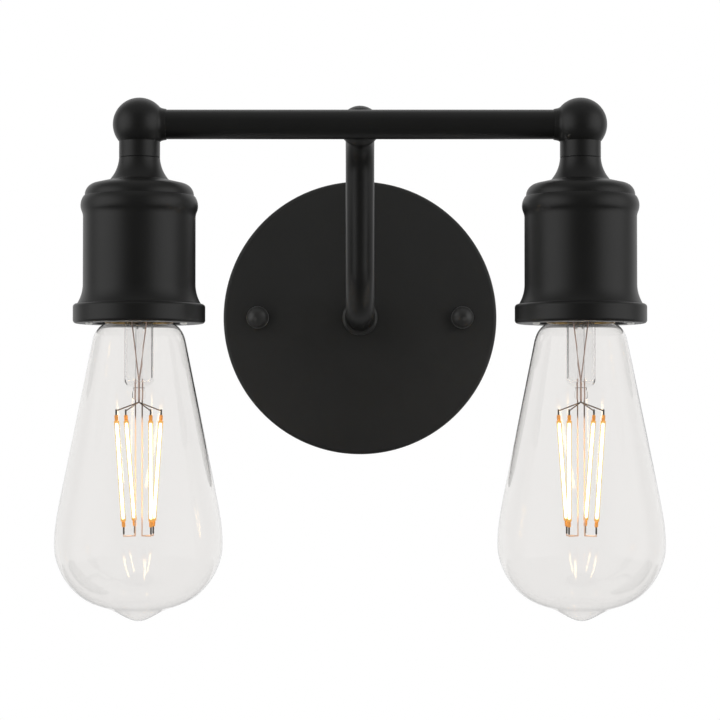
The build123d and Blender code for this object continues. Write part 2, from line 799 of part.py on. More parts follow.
    # Screw shell: thin tube with an inward thread ridge, a flange under the floor and a riveted tail
    with BuildPart() as screw_shell:
        turn(
            lamp_plane,
            (shell_bore / 2, shell_bottom_z),
            (shell_diameter / 2, shell_bottom_z),
            (shell_diameter / 2, floor_z),
            (shell_flange_bore / 2, floor_z),
            (shell_flange_bore / 2, floor_z - shell_thickness),
            (shell_bore / 2, floor_z - shell_thickness),
        )
        ridge_depth = (thread_crest_diameter - thread_core_diameter) / 2
        thread_ridge(
            (lamp_x, bar_y),
            shell_bore / 2,
            shell_thickness / 2,
            -ridge_depth,
            thread_z + thread_start + thread_pitch / 2,
        )
        rod((rivet_x, bar_y, floor_z - shell_thickness), (rivet_x, bar_y, terminal_z), rivet_diameter)
        rod((rivet_x, bar_y, floor_z + holder_floor), (rivet_x, bar_y, terminal_z), rivet_head_diameter)
    save(screw_shell, f"{side_name}_screw_shell")

    # Centre contact: a folded leaf under the floor with a riveted tail
    with BuildPart() as centre_contact:
        leaf_end = contact_length / 2
        tongue_end = contact_tongue - leaf_end
        tongue_z = tip_z + running_gap / 2
        with BuildSketch(lamp_plane):
            with BuildLine():
                Polyline(
                    (-leaf_end, floor_z),
                    (leaf_end, floor_z),
                    (leaf_end, floor_z - contact_leaf),
                    (-leaf_end + 3 * contact_leaf, floor_z - contact_leaf),
                    (tongue_end, tongue_z + contact_leaf),
                    (tongue_end, tongue_z),
                    (-leaf_end, floor_z - 2 * contact_leaf),
                    close=True,
                )
            make_face()
        extrude(amount=contact_width / 2, both=True)
        rod((lamp_x, bar_y, floor_z - contact_leaf), (lamp_x, bar_y, terminal_z), rivet_diameter)
        rod((lamp_x, bar_y, floor_z + holder_floor), (lamp_x, bar_y, terminal_z), rivet_head_diameter)
    save(centre_contact, f"{side_name}_centre_contact")

    # Lamp leads: from the terminals up the nipple, along the bar, down the arm, into the connectors
    lead_x = side * lead_side
    with BuildPart() as lamp_leads:
        for shift in (lead_offset, -lead_offset):
            upright_x = lamp_x + side * shift
            upward = 1 if shift > 0 else -1
            lead_end_z = upward * (connector_mouth_height + connector_wire_depth)
            route = [
                (upright_x, bar_y, terminal_z),
                (upright_x, bar_y, bar_height + shift),
                (lead_x, bar_y, bar_height + shift),
                (lead_x, arm_y + shift, bar_height + shift),
                (lead_x, arm_y + shift, shift),
                (lead_x, lead_turn_y, shift),
                (lead_x, lead_turn_y, lead_end_z),
            ]
            turns = [
                elbow_lead_radius + shift,
                hub_lead_radius,
                arm_bend_radius + shift,
                arm_bend_radius - shift,
                canopy_lead_radius,
            ]
            if shift > 0:
                step_z = nipple_end_z - terminal_lead_radius
                low_z = (terminal_z + step_z) / 2
                route[:1] = [
                    (rivet_x, bar_y, terminal_z),
                    (rivet_x, bar_y, low_z),
                    (upright_x, bar_y, step_z),
                ]
                turns[:0] = [terminal_lead_radius, terminal_lead_radius]
            run_wire(route, turns, lead_diameter)
    save(lamp_leads, f"{side_name}_lamp_leads")

    # Bulb tip: the solder contact at the very top of the bulb
    with BuildPart() as bulb_tip:
        turn(
            lamp_plane,
            (0, insulator_z + tip_gap),
            (tip_diameter / 2, insulator_z + tip_gap),
            (tip_diameter / 2, tip_z - tip_height / 3),
            (tip_diameter / 4, tip_z),
            (0, tip_z),
        )
    save(bulb_tip, f"{side_name}_bulb_tip")

    # Bulb cap: thin metal shell with a smooth skirt and a helical thread ridge
    with BuildPart() as bulb_cap:
        core_radius = thread_core_diameter / 2
        turn(
            lamp_plane,
            (skirt_diameter / 2 - cap_wall, seat_z),
            (skirt_diameter / 2, seat_z),
            (skirt_diameter / 2, thread_z),
            (core_radius, thread_z),
            (core_radius, thread_top_z),
            (core_radius - cap_wall, thread_top_z),
            (core_radius - cap_wall, thread_z - cap_wall),
            (skirt_diameter / 2 - cap_wall, thread_z - cap_wall),
        )
        thread_ridge(
            (lamp_x, bar_y),
            core_radius,
            -cap_wall / 2,
            (thread_crest_diameter - thread_core_diameter) / 2,
            thread_z + thread_start,
        )
    save(bulb_cap, f"{side_name}_bulb_cap")

    # Insulator: dark glass cone that closes the cap under the tip
    with BuildPart() as bulb_insulator:
        plug_radius = core_radius - cap_wall - fit_gap
        turn(
            lamp_plane,
            (0, thread_top_z - insulator_depth),
            (plug_radius, thread_top_z - insulator_depth),
            (plug_radius, thread_top_z),
            (core_radius, thread_top_z),
            (insulator_top_diameter / 2, insulator_z),
            (0, insulator_z),
        )
    save(bulb_insulator, f"{side_name}_bulb_insulator")

    # Driver board: upright in the cap, wedged across it, with two parts on its faces
    board_width = 2 * (core_radius - cap_wall - running_gap)
    with BuildPart() as driver_board:
        with BuildSketch(Plane(origin=(lamp_x, bar_y, board_z))):
            Rectangle(board_width, board_thickness)
        extrude(amount=board_height)
        for face in (-1, 1):
            part_y = bar_y + face * (board_thickness + board_part_depth) / 2
            part_x = lamp_x + face * board_width / 5
            with BuildSketch(Plane(origin=(part_x, part_y, board_z + board_height / 4))):
                Rectangle(board_width / 4, board_part_depth)
            extrude(amount=board_part_height)
    save(driver_board, f"{side_name}_driver_board")

    # Bulb glass: a thin blown shell, open at its neck
    with BuildPart() as bulb_glass:
        with BuildSketch(lamp_plane):
            with BuildLine():
                outer_neck, outer_tip = glass_outline(0)
                inner_neck, inner_tip = glass_outline(glass_wall)
                Line(outer_neck, inner_neck)
                Line(outer_tip, inner_tip)
            make_face()
        revolve(axis=lamp_axis)
    save(bulb_glass, f"{side_name}_bulb_glass")

    # Support wires: leads through the stem to the spider's arms, and two posts with links to the feet
    filament_tops = [
        bulb_point(side, filament_top_radius, angle, filament_top_z) for angle in filament_top_angles
    ]
    filament_feet = [
        bulb_point(side, filament_foot_radius, angle, filament_foot_z) for angle in filament_foot_angles
    ]
    with BuildPart() as support_wires:
        for branch, angle in enumerate((0, 180)):
            lead_top = bulb_point(side, lead_spread, angle, board_z - fit_gap)
            lead_middle = bulb_point(side, lead_pinch_spread, angle + 90, pinch_z)
            lead_low = bulb_point(side, lead_pinch_spread, angle + 90, spider_z)
            post_top = bulb_point(side, post_spread, angle, pinch_z)
            post_low = bulb_point(side, post_spread, angle, post_z)
            wires = [[lead_top, lead_middle, lead_low], [post_top, post_low]]
            for filament in (2 * branch, 2 * branch + 1):
                top, foot = filament_tops[filament], filament_feet[filament]
                wires.append([lead_low, (*top[:2], filament_top_z + spider_tab), top])
                wires.append([post_low, (*foot[:2], post_z), foot])
            for wire in wires:
                for start, end in zip(wire, wire[1:]):
                    rod(start, end, support_wire_diameter)
                    with Locations(end):
                        Sphere(support_wire_diameter / 2)
    save(support_wires, f"{side_name}_support_wires")

    # Glass stem: flared rim in the neck, closed tube, and the bead below it that seals the wires
    with BuildPart() as glass_stem:
        flare_radius = glass_neck_diameter / 2 - glass_wall - fit_gap
        tube_radius = stem_diameter / 2
        turn(
            lamp_plane,
            (flare_radius - stem_wall, flare_top_z),
            (flare_radius, flare_top_z),
            (flare_radius, flare_top_z - stem_wall),
            (tube_radius, tube_z),
            (tube_radius, pinch_z, stem_round),
            (stem_neck_diameter / 2, pinch_z),
            (stem_neck_diameter / 2, pinch_z - stem_neck_length),
            (stem_bead_diameter / 2, pinch_z - stem_neck_length, stem_bead_diameter / 16),
            (stem_bead_diameter / 2, stem_end_z, stem_bead_diameter / 4),
            (0, stem_end_z),
            (0, pinch_z + stem_wall),
            (tube_radius - stem_wall, pinch_z + stem_wall, stem_round - stem_wall),
            (tube_radius - stem_wall, tube_z + stem_wall),
        )
        add(support_wires.part, mode=Mode.SUBTRACT)
    save(glass_stem, f"{side_name}_glass_stem")

    # Filaments: four straight coated strips between the spider and the posts
    with BuildPart() as filaments:
        for top, foot in zip(filament_tops, filament_feet):
            rod(top, foot, filament_diameter)
        add(support_wires.part, mode=Mode.SUBTRACT)
    save(filaments, f"{side_name}_filaments")
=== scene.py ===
from math import atan, pi, radians

import bmesh
import bpy
import numpy as np
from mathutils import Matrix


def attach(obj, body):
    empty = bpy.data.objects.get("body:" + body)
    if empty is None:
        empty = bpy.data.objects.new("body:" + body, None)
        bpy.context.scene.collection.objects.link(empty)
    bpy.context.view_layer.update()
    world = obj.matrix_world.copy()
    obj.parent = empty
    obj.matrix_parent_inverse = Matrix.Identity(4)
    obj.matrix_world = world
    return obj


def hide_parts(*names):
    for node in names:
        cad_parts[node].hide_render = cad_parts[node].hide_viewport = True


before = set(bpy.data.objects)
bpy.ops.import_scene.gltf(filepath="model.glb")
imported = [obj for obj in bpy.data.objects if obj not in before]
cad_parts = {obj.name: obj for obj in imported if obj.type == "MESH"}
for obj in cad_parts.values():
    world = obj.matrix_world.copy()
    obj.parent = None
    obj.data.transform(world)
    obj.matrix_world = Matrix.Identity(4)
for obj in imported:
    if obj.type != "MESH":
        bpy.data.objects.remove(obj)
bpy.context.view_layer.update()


# Mounting strap with its studs and lock nuts, and the arm's nipple, washer and nut behind the canopy:
# stamped and turned mild steel, zinc plated in a barrel and screwed together. The solids are kept.
def linear(code):
    """An sRGB hex colour as linear RGBA: low values divided by 12.92, the rest on a 2.4 power curve."""
    srgb = np.array([int(code[i:i + 2], 16) for i in (1, 3, 5)]) / 255
    rgb = np.where(srgb <= 0.04045, srgb / 12.92, ((srgb + 0.055) / 1.055) ** 2.4)
    return (*rgb.tolist(), 1.0)


def add(tree, kind, settings):
    """Add a node and give its first output: a setting is a link if it is an output, else the value of a
    socket or of a property."""
    made = tree.nodes.new("ShaderNode" + kind)
    for key, value in settings.items():
        if isinstance(key, str) and key not in made.inputs:
            setattr(made, key, value)
        elif isinstance(value, bpy.types.NodeSocket):
            tree.links.new(value, made.inputs[key])
        else:
            made.inputs[key].default_value = value
    return made.outputs[0] if len(made.outputs) else made


def start(name):
    """A new material with an empty node tree, and its Object coordinates in metres."""
    finish = bpy.data.materials.new(name)
    finish.use_nodes = True
    finish.node_tree.nodes.clear()
    coordinates = finish.node_tree.nodes.new("ShaderNodeTexCoord")
    return finish, finish.node_tree, coordinates.outputs["Object"]


def noise(tree, place, size, detail):
    """Cloudy pattern with patches of about a size in mm: its scale is 1000 over the size."""
    return add(tree, "TexNoise", {"Vector": place, "Scale": 1000 / size, "Detail": detail})


def blend(tree, share, first, second):
    """The first colour where the share is 0 and the second where it is 1; each a hex code or an output. A
    Mix node has its colours in sockets 6 and 7 and in output 2."""
    first, second = [linear(end) if isinstance(end, str) else end for end in (first, second)]
    mixed = add(tree, "Mix", {"data_type": "RGBA", 0: share, 6: first, 7: second})
    return mixed.node.outputs[2]


def spread(tree, share, low, high):
    """A value that goes from low to high as the share goes from 0 to 1."""
    return add(tree, "MapRange", {"Value": share, "To Min": low, "To Max": high})


def surface(tree, settings):
    """Give the material a principled surface with these settings."""
    add(tree, "OutputMaterial", {"Surface": add(tree, "BsdfPrincipled", settings)})


def dress(finish, *nodes):
    """Put a finish in every material slot of some kept CAD nodes."""
    for name in nodes:
        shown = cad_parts[name]
        if not shown.material_slots:
            shown.data.materials.append(finish)
        for slot in shown.material_slots:
            slot.material = finish


# Barrel zinc: pale grey metal with a cloudy, faintly spangled sheen.
zinc, tree, place = start("zinc_plated_steel")
spangle = noise(tree, place, size=2.5, detail=4.0)
tone = blend(tree, spangle, "#9da09f", "#c4c5c1")
haze = spread(tree, spangle, low=0.18, high=0.3)
scuff = add(tree, "Bump", {"Strength": 0.15, "Distance": 0.00003, "Height": spangle})
surface(tree, {"Base Color": tone, "Metallic": 1.0, "Roughness": haze, "Normal": scuff})
dress(zinc, "mounting_strap", "strap_studs", "stud_lock_nuts")
dress(zinc, "arm_nipple", "arm_lock_washer", "arm_lock_nut")


# Ground screw and ground lead: a green dyed zinc screw, and a bare drawn copper wire crimped in a lug
# that runs from the screw to the arm's nut.
# Green dyed zinc: mottled green metal, a little dull.
green_zinc, tree, place = start("green_plated_steel")
mottle = noise(tree, place, size=1.5, detail=3.0)
tone = blend(tree, mottle, "#2c6b3a", "#3f8a4c")
surface(tree, {"Base Color": tone, "Metallic": 0.7, "Roughness": 0.38})
dress(green_zinc, "ground_screw")

# Bare copper: warm metal, dulled in patches by handling.
copper, tree, place = start("bare_copper")
tarnish = noise(tree, place, size=4, detail=3.0)
tone = blend(tree, tarnish, "#a85f3c", "#d98b5f")
surface(tree, {"Base Color": tone, "Metallic": 1.0, "Roughness": 0.34})
dress(copper, "ground_lead")


# Wire connectors and lamp leads: moulded orange splice caps on the ends of black PVC leads, which run
# from the lampholders through bar and arm into the canopy.
# Moulded plastic: plain orange with a finely pitted, half matt skin.
splice_plastic, tree, place = start("connector_plastic")
grain = noise(tree, place, size=0.6, detail=2.0)
pits = add(tree, "Bump", {"Strength": 0.2, "Distance": 0.00005, "Height": grain})
surface(tree, {"Base Color": linear("#d9772b"), "Roughness": 0.5, "Normal": pits})
dress(splice_plastic, "wire_connectors")

# Soft PVC: near black, with a dull rubbery sheen.
pvc, tree, place = start("lead_insulation")
grain = noise(tree, place, size=0.8, detail=2.0)
haze = spread(tree, grain, low=0.42, high=0.58)
surface(tree, {"Base Color": linear("#2a2a2a"), "Roughness": haze})
dress(pvc, "left_lamp_leads", "right_lamp_leads")


# Canopy: the round wall cover, drawn from steel sheet with a rolled front edge, hollow and open to the
# wall, powder coated satin black and held by two ball nuts.
canopy_radius, canopy_depth, canopy_wall, canopy_round, wall_edge = 59.4, 22.0, 1.2, 1.6, 0.3
nipple_hole = 4.85


def rounded(corners, steps=7):
    """Outline with rounded corners: a corner (r, h, radius) becomes the arc that touches both of its
    sides, its spokes blended from one touching point to the other by sines; no radius leaves it sharp."""
    spots = np.array([corner[:2] for corner in corners], float)
    outline = []
    for corner, spot, before, after in zip(corners, spots, np.roll(spots, 1, 0), np.roll(spots, -1, 0)):
        if len(corner) < 3:
            outline.append(spot[None])
            continue
        back = (before - spot) / np.linalg.norm(before - spot)
        on = (after - spot) / np.linalg.norm(after - spot)
        half = np.arccos(back @ on) / 2
        middle = spot + (back + on) / np.linalg.norm(back + on) * corner[2] / np.sin(half)
        first = spot + back * corner[2] / np.tan(half) - middle
        last = spot + on * corner[2] / np.tan(half) - middle
        swing = pi - 2 * half
        share = np.linspace(0, 1, steps)[:, None]
        arc = (np.sin((1 - share) * swing) * first + np.sin(share * swing) * last) / np.sin(swing)
        outline.append(middle + arc)
    return np.concatenate(outline)


def closed(outline):
    """The outline with its first point once more at the end."""
    return np.vstack([outline, outline[:1]])


def braced(outline, brace=0.25, same_spot=1e-6):
    """The outline with two points added near the ends of each long straight, so that smooth shading keeps
    it flat, and without points that fall on the one before."""
    step = np.diff(outline, axis=0)
    length = np.linalg.norm(step, axis=1, keepdims=True)
    share = np.where(length > 4 * brace, brace / np.maximum(length, same_spot), 0)
    rows = np.stack([outline[:-1], outline[:-1] + share * step, outline[1:] - share * step], 1)
    rows = np.concatenate([rows.reshape(-1, 2), outline[-1:]])
    keep = np.linalg.norm(np.diff(rows, axis=0), axis=1) > same_spot
    return rows[np.concatenate([[True], keep])]


def turned(outline, steps=120):
    """Surface of revolution: an outline point (r, h) goes round the axis as (r cos a, r sin a, h)."""
    angle = np.linspace(0, 2 * pi, steps, endpoint=False)
    r, h = braced(np.asarray(outline, float)).T
    level = np.repeat(h[:, None], steps, 1)
    return np.stack([np.outer(r, np.cos(angle)), np.outer(r, np.sin(angle)), level], -1)


def out_from_wall(grid, x=0.0, z=0.0):
    """A turned grid laid with its axis out from the wall: (a, b, h) becomes (x + a, -h, z + b)."""
    return grid[..., [0, 2, 1]] * (1, -1, 1) + (x, 0, z)


def skin(name, *grids, same_spot=2e-7, sharp_angle=38):
    """One mesh from grids in mm: neighbouring rows and columns make faces and the columns close on
    themselves; then doubles are merged, faces turned outwards and shaded smooth between sharp edges."""
    points, faces, count = [], [], 0
    for grid in grids:
        index = count + np.arange(grid.shape[0] * grid.shape[1]).reshape(grid.shape[:2])
        near, far = index[:-1], index[1:]
        faces.append(np.stack([near, np.roll(near, -1, 1), np.roll(far, -1, 1), far], -1).reshape(-1, 4))
        points.append(grid.reshape(-1, 3) / 1000)
        count += index.size
    mesh = bpy.data.meshes.new(name)
    mesh.from_pydata(np.concatenate(points), [], np.concatenate(faces).tolist())
    work = bmesh.new()
    work.from_mesh(mesh)
    bmesh.ops.remove_doubles(work, verts=work.verts, dist=same_spot)
    bmesh.ops.recalc_face_normals(work, faces=work.faces)
    work.to_mesh(mesh)
    work.free()
    mesh.shade_smooth()
    mesh.set_sharp_from_angle(angle=radians(sharp_angle))
    piece = bpy.data.objects.new(name, mesh)
    bpy.context.scene.collection.objects.link(piece)
    return piece


def fit(piece, finish, slot, body, *nodes):
    """Give a piece its finish, the body it rides on and the nodes it stands for; the record's slot for it is
    not used.
    """
    piece.data.materials.append(finish)
    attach(piece, body)
    if nodes:
        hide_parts(*nodes)


# Satin black polyester powder: it flows out in the oven to a fine orange peel, about 1 mm from crest to
# crest, so the black shows soft, slightly broken highlights. The canopy's coat is greyer and flatter. The
# trim's coat is the same paint made lighter and glossier with an edge sheen: painted light for the pale rings
# on the trim.
def powder(name, dark, light, smoothest, roughest, edge_sheen=0.0):
    """Powder coat from its darkest and lightest colour, the range of its roughness and a sheen that paints
    pale light along its edges."""
    finish, tree, place = start(name)
    peel = noise(tree, place, size=0.9, detail=2.0)
    cloud = noise(tree, place, size=14, detail=3.0)
    dimple = add(tree, "Bump", {"Strength": 0.1, "Distance": 0.00004, "Height": peel})
    haze = spread(tree, cloud, smoothest, roughest)
    surface(tree, {"Base Color": blend(tree, cloud, dark, light), "Roughness": haze, "Normal": dimple,
                   "Sheen Weight": edge_sheen, "Sheen Roughness": 0.3})
    return finish


coat = powder("black_powder_coat", "#0e0e0d", "#121211", smoothest=0.36, roughest=0.44)
canopy_coat = powder("canopy_powder_coat", "#1d1d1c", "#222221", smoothest=0.55, roughest=0.65)
# Ball nuts and collar: a lighter, glossier copy of the coat with an edge sheen, painted light for the bright
# rings on them.
painted_light_trim_coat = powder("trim_coat_with_painted_light", "#262625", "#2c2c2b", smoothest=0.30, roughest=0.36, edge_sheen=0.2)

canopy_outline = rounded([
    (nipple_hole, canopy_depth),
    (canopy_radius, canopy_depth, canopy_round),
    (canopy_radius, 0.0, wall_edge),
    (canopy_radius - canopy_wall, 0.0, wall_edge),
    (canopy_radius - canopy_wall, canopy_depth - canopy_wall, canopy_round - canopy_wall),
    (nipple_hole, canopy_depth - canopy_wall),
], steps=12)
canopy_cover = skin("canopy_cover", out_from_wall(turned(closed(canopy_outline), steps=240)))
fit(canopy_cover, canopy_coat, "black_powder_coat", "fixture", "canopy")


# Ball nuts: two small domed brass nuts, turned and coated with the canopy, screwed on the studs to hold
# the canopy against the wall.
sides = (("left", -1), ("right", 1))
nut_x, nut_radius, nut_skirt, nut_edge, stud_bore, stud_reach = 44.45, 4.8, 2.4, 0.35, 2.1, 4.6
nut_base, nut_floor, dome_foot = canopy_depth, canopy_depth + stud_reach, canopy_depth + nut_skirt
nut_rim = rounded([(stud_bore, nut_base), (nut_radius, nut_base, nut_edge), (nut_radius, dome_foot)])
dome = np.linspace(0, pi / 2, 24)
nut_outline = np.vstack([
    [(0.0, nut_floor), (stud_bore, nut_floor), (stud_bore, nut_base)],
    nut_rim[1:-1],
    np.stack([nut_radius * np.cos(dome), dome_foot + nut_radius * np.sin(dome)], 1),
])
nut_outline[-1, 0] = 0.0
nuts = [out_from_wall(turned(nut_outline, steps=64), x=nut_x * side) for _, side in sides]
ball_nuts = skin("canopy_domed_nuts", *nuts)
fit(ball_nuts, painted_light_trim_coat, "black_powder_coat", "fixture", "canopy_ball_nuts")


# Arm: a collar on the canopy, and a steel tube bent twice over a former, so it comes out of the wall,
# turns up and turns out again into the hub.
arm_radius, tube_wall, bend_radius, slip = 5.75, 0.9, 17.0, 0.05
collar_radius, collar_height, collar_chamfer = 7.65, 2.0, 1.0
collar_foot_round, collar_round = 0.2, 0.25
bar_y, bar_z = -125.0, 70.75
arm_y, arm_end_y = -95.0, -115.5

collar_outline = rounded([
    (arm_radius + slip, canopy_depth),
    (collar_radius, canopy_depth, collar_foot_round),
    (collar_radius, canopy_depth + collar_height - collar_chamfer, collar_round),
    (collar_radius - collar_chamfer, canopy_depth + collar_height, collar_round),
    (arm_radius + slip, canopy_depth + collar_height),
])
arm_collar = skin("arm_root_collar", out_from_wall(turned(closed(collar_outline), steps=96)))
fit(arm_collar, painted_light_trim_coat, "black_powder_coat", "fixture", "arm_collar")


def hollow(path, outer, inner, across, steps=72):
    """Round tube along a flat path: at each point a circle in the plane of the across direction and its
    cross product with the path's heading; the outside runs forwards, the bore back, and the ends close."""
    heading = np.gradient(path, axis=0)
    heading /= np.linalg.norm(heading, axis=1, keepdims=True)
    side = np.cross(heading, across)
    angle = np.linspace(0, 2 * pi, steps, endpoint=False)[:, None]
    spoke = np.cos(angle) * side[:, None] + np.sin(angle) * np.asarray(across, float)
    outside, bore = path[:, None] + outer * spoke, path[:, None] + inner * spoke
    return np.concatenate([outside, bore[::-1], outside[:1]])


arm_route = rounded([
    (-canopy_depth, 0.0), (arm_y, 0.0, bend_radius), (arm_y, bar_z, bend_radius), (arm_end_y, bar_z),
], steps=40)
arm_route = braced(arm_route, brace=0.6)
arm_path = np.stack([np.zeros(len(arm_route)), arm_route[:, 0], arm_route[:, 1]], 1)
arm_tube = skin("arm_bent_tube", hollow(arm_path, arm_radius, arm_radius - tube_wall, (1, 0, 0)))
fit(arm_tube, coat, "black_powder_coat", "fixture", "arm_tube")


# Hub: a turned ball on the end of the arm, with a saddle milled in its front that takes the crossbar,
# which is brazed there.
hub_radius, hub_y = 8.1, -119.0


def hub_grid(rows=40, steps=96):
    """Ball with a saddle: rows run from the curve where the ball meets the bar, which is a quadratic in
    the cosine of the polar angle for each angle round the arm's axis, back to the arm's opening."""
    around = np.linspace(0, 2 * pi, steps, endpoint=False)
    gap = hub_y - bar_y
    saddle = arm_radius + slip
    square = (hub_radius * np.cos(around)) ** 2
    middle = 2 * gap * hub_radius
    rest = gap ** 2 + (hub_radius * np.sin(around)) ** 2 - saddle ** 2
    cosine = 2 * rest / (middle + np.sqrt(np.maximum(middle ** 2 - 4 * square * rest, 0)))
    front = np.arccos(np.clip(cosine, -1, 1))
    share = np.linspace(0, 1, rows)[:, None]
    polar = front + (pi - np.arcsin(arm_radius / hub_radius) - front) * share
    ball = np.stack([np.sin(polar) * np.cos(around), -np.cos(polar), np.sin(polar) * np.sin(around)], -1)
    ball = ball * hub_radius + (0, hub_y, bar_z)
    seat = np.broadcast_to((0, bar_y + saddle, bar_z), ball[:1].shape)
    plug = np.broadcast_to((0, ball[-1, 0, 1], bar_z), ball[:1].shape)
    return np.concatenate([seat, ball, plug])


arm_hub = skin("arm_ball_hub", hub_grid())
fit(arm_hub, coat, "black_powder_coat", "fixture", "arm_hub")


# Crossbar: a straight steel tube across the front of the hub, cut square and pushed into the bosses of
# the two elbows.
lamp_x, boss_length, bar_seat = 85.75, 10.4, 4.0
bar_half = lamp_x - boss_length + bar_seat
bar_x = np.linspace(-bar_half, bar_half, 60)
bar_path = np.stack([bar_x, np.full_like(bar_x, bar_y), np.full_like(bar_x, bar_z)], 1)
crossbar = skin("crossbar_tube", hollow(bar_path, arm_radius, arm_radius - tube_wall, (0, 1, 0)))
fit(crossbar, coat, "black_powder_coat", "fixture", "crossbar")


# Ball elbows: turned balls at the ends of the bar, each with a tapered boss round the bar and a neck down
# to its cup, held together by a threaded nipple of zinc plated steel.
ball_radius, neck_radius, seam_z, seam_round, nipple_top = 10.4, 7.95, 57.6, 0.3, 63.95
boss_root, boss_waist, boss_tip = 7.5, 6.4, 6.0
root_start, root_end, waist_at, waist_round, tip_round = 4.0, 7.0, 8.4, 2.5, 0.12
neck_angle = np.arcsin(neck_radius / ball_radius)
cap_angle = np.linspace(0, pi - neck_angle, 60)
elbow_neck = rounded([
    (neck_radius, bar_z - ball_radius * np.cos(neck_angle)), (neck_radius, seam_z, seam_round),
    (nipple_hole, seam_z), (nipple_hole, nipple_top), (0.0, nipple_top),
])
elbow_outline = np.vstack([
    np.stack([ball_radius * np.sin(cap_angle), bar_z + ball_radius * np.cos(cap_angle)], 1),
    elbow_neck[1:],
])
bar_stop = boss_length - bar_seat
boss_outline = rounded([
    (0.0, root_start), (boss_root, root_start), (boss_root, root_end), (boss_waist, waist_at, waist_round),
    (boss_tip, boss_length, tip_round), (arm_radius + slip, boss_length), (arm_radius + slip, bar_stop),
    (0.0, bar_stop),
])
for side_name, side in sides:
    boss = turned(boss_outline, steps=96)[..., [2, 1, 0]] * (-side, 1, 1) + (side * lamp_x, bar_y, bar_z)
    elbow = skin(f"{side_name}_elbow_ball", turned(elbow_outline) + (side * lamp_x, bar_y, 0), boss)
    fit(elbow, coat, "black_powder_coat", "fixture", f"{side_name}_ball_elbow")
    dress(zinc, f"{side_name}_elbow_nipple")


# Socket cups: spun or die cast husks with a trumpet neck, a beaded shoulder and a flared foot, coated
# like the rest; a washer and a nut inside pull each cup up against its elbow.
cup_bore, cup_ceiling, foot_z, cup_seam_round = 19.4, 44.8, -4.3, 0.2
up, down, outwards, down_the_neck = (0, 1), (0, -1), (1, 0), (0.097, -0.995)
neck_foot, trumpet_foot = (neck_radius + 0.04, seam_z - 0.5), (11.6, 49.0)
shoulder_top, shoulder_foot = (17.55, 47.6), (21.15, 43.0)
groove, lip = (21.25, 42.7), (21.675, 42.48)
bead_crest, bead_turn, bead_foot = (22.75, 39.0), (22.275, 36.7), (21.8, 34.4)
flare_start, flare_end = (21.8, 8.6), (24.0, 0.8)


def bent(begin, heading, end, steps=14):
    """Arc that leaves a point along a heading and comes to an end: at share s its chord has turned by s
    times the angle between heading and full chord, and has grown with the sine of that turn."""
    begin, chord = np.array(begin, float), np.subtract(end, begin)
    angle = np.arctan2(heading[0] * chord[1] - heading[1] * chord[0], np.dot(heading, chord))
    share = np.linspace(0, 1, steps)
    size = np.linalg.norm(chord) * np.sin(share * angle) / np.sin(angle)
    course = np.arctan2(heading[1], heading[0]) + share * angle
    return begin + np.stack([size * np.cos(course), size * np.sin(course)], 1)


cup_outline = closed(np.vstack([
    rounded([(nipple_hole, seam_z), (neck_radius, seam_z, cup_seam_round), neck_foot])[1:-1],
    bent(neck_foot, down_the_neck, trumpet_foot, steps=24),
    bent(shoulder_foot, up, shoulder_top)[::-1],
    bent(groove, outwards, lip, steps=7),
    bent(bead_crest, up, lip)[-2::-1],
    bent(bead_crest, down, bead_turn)[1:],
    bent(bead_foot, up, bead_turn)[-2::-1],
    bent(flare_start, down, flare_end),
    [(flare_end[0], foot_z), (cup_bore, foot_z), (cup_bore, cup_ceiling), (nipple_hole, cup_ceiling)],
    [(nipple_hole, seam_z)],
]))
for side_name, side in sides:
    cup = skin(f"{side_name}_husk_cup", turned(cup_outline, steps=160) + (side * lamp_x, bar_y, 0))
    fit(cup, coat, "black_powder_coat", "fixture", f"{side_name}_socket_cup")
    dress(zinc, f"{side_name}_cup_lock_washer", f"{side_name}_cup_lock_nut")


# Rim rings and their screws: a rounded band under each cup with a flat base round the bulb's neck, held
# up into the cup's foot by three small plated pan head screws.
rim_radius, rim_mouth, rim_seat, rim_top, rim_bottom = 25.6, 17.6, 24.05, 0.8, -6.8
rim_round, mouth_round, seat_round, ledge_round = 1.3, 0.5, 0.15, 0.4
rim_outline = rounded([
    (rim_mouth, rim_bottom, mouth_round), (rim_radius, rim_bottom, rim_round),
    (rim_radius, rim_top, rim_round), (rim_seat, rim_top, seat_round),
    (rim_seat, foot_z), (rim_mouth, foot_z, ledge_round),
], steps=10)
screw_circle, screw_angles = 20.93, (90, 210, 330)
screw_radius, screw_top, head_radius, head_height, head_round = 1.0, -0.3, 1.4, 0.8, 0.6
head_bottom = rim_bottom - head_height
screw_outline = rounded([
    (0.0, head_bottom), (head_radius, head_bottom, head_round), (head_radius, rim_bottom),
    (screw_radius, rim_bottom), (screw_radius, screw_top), (0.0, screw_top),
], steps=8)

# Screw zinc: a near white, half metallic colour that paints the screws' glints, so they stay light against
# the black rim.
glint_painted_zinc, tree, place = start("zinc_painted_with_glints")
mottle = noise(tree, place, size=1.5, detail=2.0)
tone = blend(tree, mottle, "#d9dad8", "#f0f0ee")
surface(tree, {"Base Color": tone, "Metallic": 0.35, "Roughness": 0.3})
for side_name, side in sides:
    rim = skin(f"{side_name}_husk_rim", turned(closed(rim_outline), steps=160) + (side * lamp_x, bar_y, 0))
    fit(rim, coat, "black_powder_coat", "fixture", f"{side_name}_rim_ring")
    spots = [(side * lamp_x + screw_circle * np.cos(a), bar_y + screw_circle * np.sin(a), 0)
             for a in np.radians(screw_angles)]
    screws = skin(f"{side_name}_pan_screws", *[turned(screw_outline, steps=32) + spot for spot in spots])
    fit(screws, glint_painted_zinc, "zinc_plated_steel", "fixture", f"{side_name}_rim_screws")


